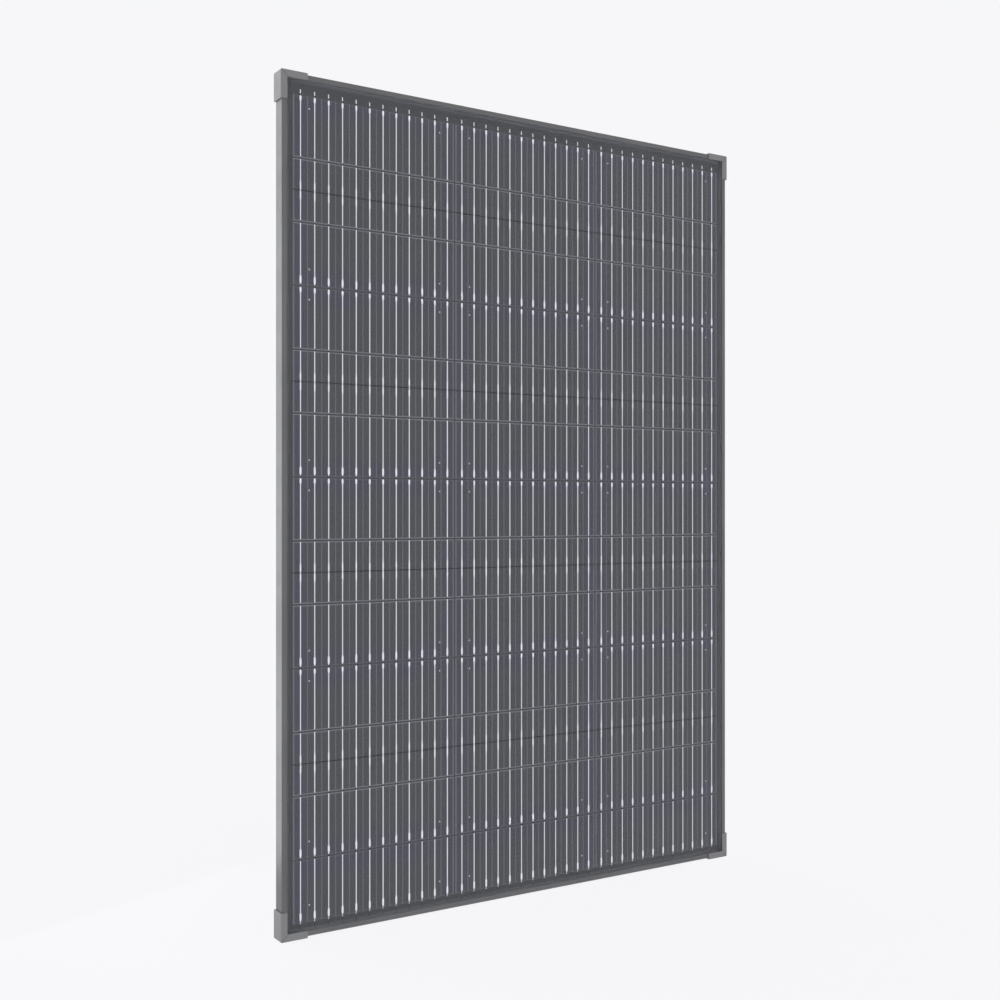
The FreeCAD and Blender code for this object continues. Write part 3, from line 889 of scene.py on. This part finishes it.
@dataclass
class FrameRails(Assembly):
    """The four anodised rails, their corner keys, the sealant and the earth signs."""

    tone: Tone = (0.145, 0.146, 0.150)
    chamber: float = 0.008
    bead: float = 0.0026
    sign_size: float = 0.007
    sign_rise: float = 0.011
    sign_bars: tuple[Triple, ...] = ((1.0, 0.14, 0.45), (0.62, 0.14, 0.2), (0.26, 0.14, -0.05),
                                     (0.13, 0.5, 0.75))
    sign_round: float = 0.0001
    print_depth: Pair = (-0.00002, 0.00004)
    flange_hole: float = 0.0152
    hole_z: float = -0.380
    bead_hollow: float = 0.25
    bead_overlap: float = 0.00005

    def build(self) -> None:
        """Dress the rails with streaks along each, and add the bead and the signs."""
        along = {"vertical": (0.0005, 0.0005, 0.25), "level": (0.25, 0.0005, 0.0005)}
        look = dict(tone=self.tone, roughness=0.36, metallic=0.88, uneven=0.10, relief=0.000006)
        self.dress(Finish("anodised_upright", grain=along["vertical"], **look),
                   "frame_rail_left", "frame_rail_right")
        self.dress(Finish("anodised_level", grain=along["level"], **look),
                   "frame_rail_top", "frame_rail_bottom")
        self.dress(Finish("pressed_key", (0.60, 0.60, 0.62), roughness=0.38, metallic=1.0,
                          grain=(0.003, 0.0004, 0.003)),
                   *[f"corner_key_{corner.value}" for corner in Corner])
        sealant = Finish("cured_sealant", (0.075, 0.075, 0.077), roughness=0.5, uneven=0.2,
                         grain=(0.004, 0.004, 0.004), relief=0.00008)
        self.dress(sealant, "edge_seal")
        self.rear_bead(sealant)
        self.earth_signs()

    def rear_bead(self, sealant: Finish) -> None:
        """Fillet of sealant between the backsheet and the frame's box section.

        The profile is a quarter arc, drawn in towards the corner in its middle, carried round the frame.

        Args:
            sealant: Its finish.
        """
        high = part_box("frame_rail_right")[1]
        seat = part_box("backsheet")[1].y
        turn = np.linspace(0, math.pi / 2, 6)
        reach = self.bead * (1 - self.bead_hollow * np.sin(2 * turn))
        arc = np.column_stack([reach * np.cos(turn), seat + reach * np.sin(turn)])
        profile = np.vstack([[(0.0, seat - LET_IN)], arc])
        profile[:, 0] += self.chamber - self.bead_overlap
        self.add("rear_sealant_bead", ring(profile, (high.x, high.z)), sealant, "sealant")

    def earth_signs(self) -> None:
        """Printed earth sign by each earthing hole: three bars, each shorter than the last, and a stem.

        A bar's width, height and rise are shares of the sign's size.
        """
        size, edge = self.sign_size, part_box("frame_rail_right")[1].x
        xs = np.array([-1, 1]) * (edge - self.flange_hole)
        z = self.hole_z + self.sign_rise
        bars = []
        for width, height, rise in self.sign_bars:
            centres = np.column_stack([xs, np.full(2, z + rise * size)])
            outline = rounded(size * width, height * size, self.sign_round, 2)
            bars.append(prisms(outline, centres, *self.print_depth))
        self.add("earth_signs", sum(bars[1:], bars[0]),
                 Finish("grey_print", (0.45, 0.45, 0.46), roughness=0.55, uneven=0.1), "label_film")


@dataclass
class CornerProtectors(Assembly):
    """The four push-on plastic corners."""

    tone: Tone = (0.175, 0.173, 0.176)

    def build(self) -> None:
        """Dress the corners in finely grained plastic."""
        self.dress(Finish("grained_corner_plastic", self.tone, roughness=0.46, specular=0.55, uneven=0.06,
                          grain=(0.0009, 0.0009, 0.0009), relief=0.00004),
                   *[f"corner_protector_{corner.value}" for corner in Corner])


@dataclass
class Laminate(Assembly):
    """Glass, films, cells and backsheet."""

    silicon: Tone = (0.066, 0.067, 0.075)
    border: Tone = (0.062, 0.063, 0.070)
    play: float = 0.00001
    lip: float = 0.006

    def build(self) -> None:
        """Dress the sheets and the cells."""
        self.dress(GlassSurface("coated_glass", (0.95, 0.96, 1.0), roughness=0.07,
                                grain=(0.0012, 0.0012, 0.0012), relief=0.000003), "front_glass")
        self.front_film()
        inset = Vector((self.lip, 0.0, self.lip))
        low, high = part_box("frame_rail_left")[0] + inset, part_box("frame_rail_right")[1] - inset
        # The black film gets painted light along the frame's lip, over the lip's shade.
        self.dress(BorderSurface("black_film", self.border, roughness=0.35, specular=0.2, uneven=0.07,
                                 grain=(0.002, 0.002, 0.002), relief=0.00001, low=tuple(low),
                                 high=tuple(high)), "rear_encapsulant")
        cells = [f"cell_string_{name}" for name in self.layout.strings]
        self.dress(CellSurface("printed_silicon", self.silicon, roughness=0.42, specular=0.18,
                               grain=(0.0003, 0.0003, 0.0003), relief=0.000004, layout=self.layout),
                   *cells)
        self.dress(BacksheetSurface("black_backsheet", (0.026, 0.026, 0.029), roughness=0.46,
                                    uneven=0.12, grain=(0.0006, 0.0006, 0.0006), relief=0.0004,
                                    layout=self.layout), "backsheet")

    def front_film(self) -> None:
        """Film in front of the cells, a hair clear of the sheets that it is bonded to.

        The points are the CAD film's own, merged, with its front moved back and its back moved forward
        by the play, so that no two surfaces lie in one plane.
        """
        low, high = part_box("front_encapsulant")
        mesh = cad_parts["front_encapsulant"].data
        points = np.zeros(len(mesh.vertices) * 3)
        mesh.vertices.foreach_get("co", points)
        corners = np.zeros(len(mesh.loops), int)
        mesh.loops.foreach_get("vertex_index", corners)
        points = points.reshape(-1, 3)
        _, first, merged = np.unique(np.round(points, 7), axis=0, return_index=True, return_inverse=True)
        points, faces = points[first], merged.ravel()[corners].reshape(-1, 3)
        points[:, 1] += self.play * ((points[:, 1] < low.y + self.play).astype(float)
                                     - (points[:, 1] > high.y - self.play))
        film = self.add("front_film", Shell(points, [faces]), GlassSurface(
            "clear_film", (0.9, 0.9, 0.9), roughness=0.3, mirror=0.001, clear=(0.995, 0.995, 0.995),
            grain=(0.004, 0.004, 0.004)), "clear_film")
        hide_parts("front_encapsulant")


@dataclass
class CellPrinting(Assembly):
    """Solder pads and place marks on the cells, three rows to a full cell."""

    pad_width: float = 0.0023
    slim_width: float = 0.0017
    pad_proud: float = 0.00031
    pad_taper: float = 0.0012
    above: Pair = (0.002, 0.009)
    below: Pair = (0.0002, 0.006)
    middle: Pair = (0.0010, 0.0095)
    dot_radius: float = 0.0009
    dot_sides: int = 12
    dot_proud: float = 0.00002
    dot_inset: float = 0.020
    dot_above: float = 0.0185
    dot_below: float = 0.0138

    def full_edges(self) -> tuple[np.ndarray, np.ndarray, np.ndarray]:
        """Z of the full cells' bottom edges, top edges and half lines.

        A full cell is three rows, the last row being the lowest third of one.

        Returns:
            Bottom edges, top edges and half lines.
        """
        cells = self.layout
        tops = cells.top - np.arange(0, cells.rows - 1, cells.full_rows) * cells.drop
        bottoms = np.append(tops - cells.full_drop + cells.gap, cells.bottom)
        return bottoms, tops, tops - cells.half_line

    def build(self) -> None:
        """Add the pads over the ribbons and the marks beside them."""
        solder = Finish("soft_solder", (0.97, 0.97, 0.98), roughness=0.3, metallic=0.85, uneven=0.08,
                        grain=(0.0008, 0.0008, 0.0016), relief=0.00005).make()
        bottoms, tops, halves = self.full_edges()
        start, long = self.above
        self.pads("pads_above_edges", bottoms + start + long / 2, long, self.pad_width, solder)
        start, long = self.below
        self.pads("pads_below_edges", tops - start - long / 2, long, self.pad_width, solder)
        start, long = self.middle
        both = np.concatenate([halves + start + long / 2, halves - start - long / 2])
        self.pads("pads_at_half_lines", both, long, self.slim_width, solder)
        self.dots(np.concatenate([bottoms + self.dot_above, tops - self.dot_below]))

    def pads(self, name: str, zs: np.ndarray, long: float, width: float,
             solder: bpy.types.Material) -> None:
        """Pads on every line of ribbons.

        Each is a rectangle whose ends narrow to the ribbon's width, carried forward from the cell.

        Args:
            name: Name of the piece.
            zs: Z of the middles.
            long: Length of a pad.
            width: Width of a pad.
            solder: Material.
        """
        wide, narrow, end = width / 2, self.layout.ribbon_width / 2, long / 2
        neck = end - self.pad_taper
        outline = np.array([(-narrow, -end), (narrow, -end), (wide, -neck), (wide, neck),
                            (narrow, end), (-narrow, end), (-wide, neck), (-wide, -neck)])
        xs = self.layout.ribbon_xs()
        centres = np.stack(np.meshgrid(xs, zs, indexing="ij"), axis=-1).reshape(-1, 2)
        back = self.layout.cell_front
        self.add(name, prisms(outline, centres, back - self.pad_proud, back), solder, "tinned_copper")

    def dots(self, zs: np.ndarray) -> None:
        """Round place marks near the sides of every cell, each a flat disc of a few sides.

        Args:
            zs: Z of their middles.
        """
        cells = self.layout
        starts = cells.left + np.arange(len(cells.strings)) * cells.step
        xs = np.concatenate([starts + self.dot_inset, starts + cells.width - self.dot_inset])
        centres = np.stack(np.meshgrid(xs, zs, indexing="ij"), axis=-1).reshape(-1, 2)
        disc = self.dot_radius * circle(self.dot_sides)
        back = cells.cell_front
        self.add("place_marks", prisms(disc, centres, back - self.dot_proud, back),
                 Finish("printed_silver", (0.62, 0.62, 0.67), roughness=0.45, metallic=0.6, uneven=0.1),
                 "tinned_copper")


@dataclass
class Wiring(Assembly):
    """Ribbons, bus ribbons, leads and their insulation."""

    def build(self) -> None:
        """Dress the wiring."""
        self.dress(RibbonSurface("tinned_ribbon", (0.93, 0.93, 0.945), roughness=0.32, metallic=0.85,
                                 uneven=0.05, grain=(0.0008, 0.0008, 0.004), relief=0.00001,
                                 layout=self.layout),
                   *[f"tabbing_ribbons_{name}" for name in self.layout.strings])
        self.dress(Finish("black_coated_ribbon", (0.022, 0.022, 0.024), roughness=0.4,
                          grain=(0.01, 0.001, 0.001)),
                   "top_bus_ribbons", "bottom_bus_ribbons")
        self.dress(Finish("tinned_lead", (0.72, 0.72, 0.74), roughness=0.3, metallic=0.95,
                          grain=(0.003, 0.003, 0.003)), "string_leads", "lead_tails")
        self.dress(Finish("insulating_film", (0.03, 0.03, 0.032), roughness=0.4), "lead_insulation")


@dataclass
class JunctionBox(Assembly):
    """The box on the back and what it holds."""

    plastic: Tone = (0.028, 0.028, 0.030)
    ring_inset: float = 0.007
    ring_rise: float = 0.0008
    ring_steps: tuple[float, ...] = (0.0, 0.0004, 0.0018, 0.0022)
    ring_round: float = 0.004
    sign_size: float = 0.012
    sign_thin: float = 0.2
    sign_round: float = 0.3
    sign_up: float = 1.1
    stem_extra: float = 0.00001
    diode_radius: float = 0.0024
    band_shift: float = 0.0022
    band_overlap: float = 0.00005
    band_wall: float = 0.0001
    band_length: float = 0.0009
    solder_inset: float = 0.0012
    solder_radius: float = 0.0017
    solder_rise: float = 0.0013
    solder_overlap: float = 0.00002

    def build(self) -> None:
        """Dress the box and add its marks, bands and solder."""
        moulded = Finish("moulded_box_plastic", self.plastic, roughness=0.42, uneven=0.1,
                         grain=(0.0008, 0.0008, 0.0008), relief=0.00005)
        self.dress(moulded, "junction_box_base", "junction_box_lid", "gland_nut_left",
                   "gland_nut_right")
        rubber = Finish("moulded_rubber", (0.10, 0.10, 0.10), roughness=0.7, specular=0.3, uneven=0.15)
        self.dress(rubber, "junction_box_gasket", "gland_seal_left", "gland_seal_right")
        self.dress(Finish("bonding_sealant", (0.02, 0.02, 0.02), roughness=0.5,
                          grain=(0.003, 0.003, 0.003), relief=0.0001), "junction_box_adhesive")
        self.dress(Finish("tinned_plate", (0.75, 0.72, 0.66), roughness=0.28, metallic=1.0, uneven=0.06,
                          grain=(0.0006, 0.0006, 0.004)),
                   "terminal_plates", "cable_contact_left", "cable_contact_right")
        self.dress(Finish("spring_steel", (0.58, 0.58, 0.60), roughness=0.22, metallic=1.0,
                          grain=(0.003, 0.0004, 0.0004)), "terminal_clips")
        self.dress(Finish("diode_moulding", (0.02, 0.02, 0.021), roughness=0.3,
                          grain=(0.0004, 0.0004, 0.0004)),
                   *[f"bypass_diode_{number}" for number in (1, 2, 3)])
        self.lid_marks(moulded)
        self.diode_details()

    def lid_marks(self, plastic: Finish) -> None:
        """Raised border on the lid, and a plus and a minus by the cable glands.

        The border is a low trapezium carried round a rounded rectangle.

        Args:
            plastic: The lid's finish.
        """
        low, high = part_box("junction_box_lid")
        middle = ((low.x + high.x) / 2, (low.z + high.z) / 2)
        half = ((high.x - low.x) / 2 - self.ring_inset, (high.z - low.z) / 2 - self.ring_inset)
        seat, rise = high.y, self.ring_rise
        ends = (seat - LET_IN, seat + rise)
        profile = np.column_stack([self.ring_steps, (ends[0], ends[1], ends[1], ends[0])])
        self.add("lid_border", ring(profile, half, middle, self.ring_round, 6), plastic, "box_plastic",
                 "box_cover")
        size, thin = self.sign_size, self.sign_size * self.sign_thin
        z = low.z + self.ring_inset + size * self.sign_up
        xs = [(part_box(f"gland_nut_{side}")[0].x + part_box(f"gland_nut_{side}")[1].x) / 2
              for side in ("left", "right")]
        radius = thin * self.sign_round
        bars = prisms(rounded(size, thin, radius), np.array([(xs[0], z), (xs[1], z)]), *ends)
        stem = prisms(rounded(thin, size, radius), np.array([(xs[0], z)]), ends[0],
                      ends[1] + self.stem_extra)
        self.add("polarity_signs", bars + stem, plastic, "box_plastic", "box_cover")

    def diode_details(self) -> None:
        """Band on each diode's cathode end, and solder where its leads lie on the plates."""
        middles, joints = [], []
        for number in (1, 2, 3):
            low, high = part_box(f"bypass_diode_{number}")
            middle = (low + high) / 2
            middles.append((middle.x + self.band_shift, middle.y, middle.z))
            joints += [(low.x + self.solder_inset, middle.z), (high.x - self.solder_inset, middle.z)]
        self.add("diode_bands", bands(np.array(middles), self.diode_radius - self.band_overlap,
                                      self.band_wall, self.band_length),
                 Finish("silver_print", (0.55, 0.55, 0.57), roughness=0.4, metallic=0.4), "diode_case")
        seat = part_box("terminal_plates")[1].y - self.solder_overlap
        self.add("terminal_solder", domes(np.array(joints), seat, self.solder_radius, self.solder_rise),
                 Finish("soft_solder_joint", (0.72, 0.72, 0.73), roughness=0.25, metallic=0.9,
                        grain=(0.001, 0.001, 0.001)), "tinned_copper", smooth=True)


@dataclass
class RatingLabel(Assembly):
    """The blank label below the junction box."""

    margin: float = 0.003
    border: float = 0.0005
    indent: float = 0.012
    bar_height: float = 0.007
    bar_drop: float = 0.010
    bar_round: float = 0.0004
    first_line: float = 0.019
    line_pitch: float = 0.0062
    line_count: int = 6
    line_width: float = 0.0003
    line_round: float = 0.0001
    column_shift: float = 0.012
    column_height: float = 0.031
    ink: Pair = (-0.00001, 0.00002)

    def build(self) -> None:
        """Dress the label, and rule it with a frame, a bar, six lines and a column, with no lettering."""
        self.dress(Finish("label_film", (0.70, 0.71, 0.72), roughness=0.5, uneven=0.03), "rating_label")
        low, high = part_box("rating_label")
        middle = np.array([(low.x + high.x) / 2, (low.z + high.z) / 2])
        width, height = high.x - low.x, high.z - low.z
        under, over = high.y + self.ink[0], high.y + self.ink[1]
        profile = np.array([(0, under), (0, over), (self.border, over), (self.border, under)])
        border = ring(profile, (width / 2 - self.margin, height / 2 - self.margin), tuple(middle))
        bar = prisms(rounded(width - self.indent, self.bar_height, self.bar_round),
                     middle[None] + [0, height / 2 - self.bar_drop], under, over)
        zs = middle[1] + height / 2 - self.first_line - np.arange(self.line_count) * self.line_pitch
        lines = prisms(rounded(width - self.indent, self.line_width, self.line_round, 2),
                       np.column_stack([np.full(self.line_count, middle[0]), zs]), under, over)
        column = prisms(rounded(self.line_width, self.column_height, self.line_round, 2),
                        np.array([(middle[0] + self.column_shift, zs.mean())]), under, over)
        self.add("label_ruling", border + bar + lines + column,
                 Finish("label_ink", (0.05, 0.05, 0.055), roughness=0.5, uneven=0.15), "label_film")


# ---------------------------------------------------------------- studio
@dataclass
class Studio:
    """Camera, even pale surroundings, pale floor and two soft lamps."""

    surround: Tone = (0.930, 0.930, 0.947)
    eye: Triple = (-0.89077, -1.34733, -0.00356)
    yaw: float = 32.544
    lens: float = 45.9
    sensor: float = 36.0
    rise: float = 0.0088
    floor_radius: float = 30.0
    floor_sides: int = 96
    floor_drop: float = 0.0003
    floor_share: float = 0.05
    strip_place: Triple = (-0.105, 0.23, 0.085)
    strip_size: Pair = (0.40, 1.12)
    strip_power: float = 1.45
    front_place: Triple = (-2.6, -1.4, 0.1)
    front_size: Pair = (1.6, 1.6)
    front_power: float = 17.0

    def build(self) -> None:
        """Set up the camera and the surroundings, a strip lamp by the left side, and one in front."""
        self.camera()
        self.sky()
        self.floor()
        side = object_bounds()[0].x
        away, behind, up = self.strip_place
        self.lamp("soft_side_strip", Vector((side + away, behind, up)), Vector((side, 0.0, up)),
                  self.strip_size, self.strip_power)
        self.lamp("soft_front_left", Vector(self.front_place), Vector((0.0, 0.0, 0.0)),
                  self.front_size, self.front_power)

    def camera(self) -> None:
        """Level camera, turned to the right."""
        data = bpy.data.cameras.new("camera")
        data.lens, data.sensor_width, data.shift_y = self.lens, self.sensor, self.rise
        camera = bpy.data.objects.new("camera", data)
        camera.location = self.eye
        camera.rotation_euler = (math.pi / 2, 0.0, -math.radians(self.yaw))
        bpy.context.scene.collection.objects.link(camera)
        bpy.context.scene.camera = camera

    def sky(self) -> None:
        """Even light from all round."""
        scene = bpy.context.scene
        scene.view_settings.view_transform = "Standard"
        scene.world = bpy.data.worlds.new("studio")
        scene.world.use_nodes = True
        background = scene.world.node_tree.nodes["Background"]
        background.inputs["Color"].default_value = (*self.surround, 1.0)

    def floor(self) -> None:
        """Round pale floor under the panel, lit almost evenly: a disc of points on a circle."""
        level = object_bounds()[0].z - self.floor_drop
        points = np.column_stack([self.floor_radius * circle(self.floor_sides),
                                  np.full(self.floor_sides, level)])
        mesh = bpy.data.meshes.new("floor")
        mesh.from_pydata(points.tolist(), [], [list(range(self.floor_sides))])
        floor = bpy.data.objects.new("floor", mesh)
        bpy.context.scene.collection.objects.link(floor)
        graph = Graph("pale_floor")
        glow = tuple(part * (1 - self.floor_share) for part in self.surround)
        matt = graph.put("ShaderNodeBsdfDiffuse", {"Color": (*[self.floor_share] * 3, 1.0)})
        lit = graph.put("ShaderNodeEmission", {"Color": (*glow, 1.0), "Strength": 1.0})
        both = graph.put("ShaderNodeAddShader", {0: matt.outputs[0], 1: lit.outputs[0]})
        mesh.materials.append(graph.close(both))
        floor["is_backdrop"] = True

    def lamp(self, name: str, place: Vector, aim: Vector, size: Pair, power: float) -> None:
        """Rectangular soft lamp that isn't seen itself.

        Args:
            name: Name of the lamp.
            place: Where it stands.
            aim: The point that it faces.
            size: Width and height.
            power: Power in watts.
        """
        data = bpy.data.lights.new(name, "AREA")
        data.shape, data.energy = "RECTANGLE", power
        data.size, data.size_y = size
        lamp = bpy.data.objects.new(name, data)
        lamp.location = place
        lamp.rotation_euler = (aim - place).to_track_quat("-Z", "Y").to_euler()
        lamp.visible_camera = False
        bpy.context.scene.collection.objects.link(lamp)


def main() -> None:
    """Build each sub-assembly in order, then the studio."""
    logging.basicConfig(level=logging.INFO, format="%(name)s %(message)s")
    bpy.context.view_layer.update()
    layout = Layout()
    for kind in (FrameRails, CornerProtectors, Laminate, CellPrinting, Wiring, JunctionBox, RatingLabel):
        assembly = kind(layout)
        assembly.build()
        LOG.info("%s: %d new pieces", kind.__name__, len(assembly.pieces))
    Studio().build()


if __name__ == "__main__":
    main()
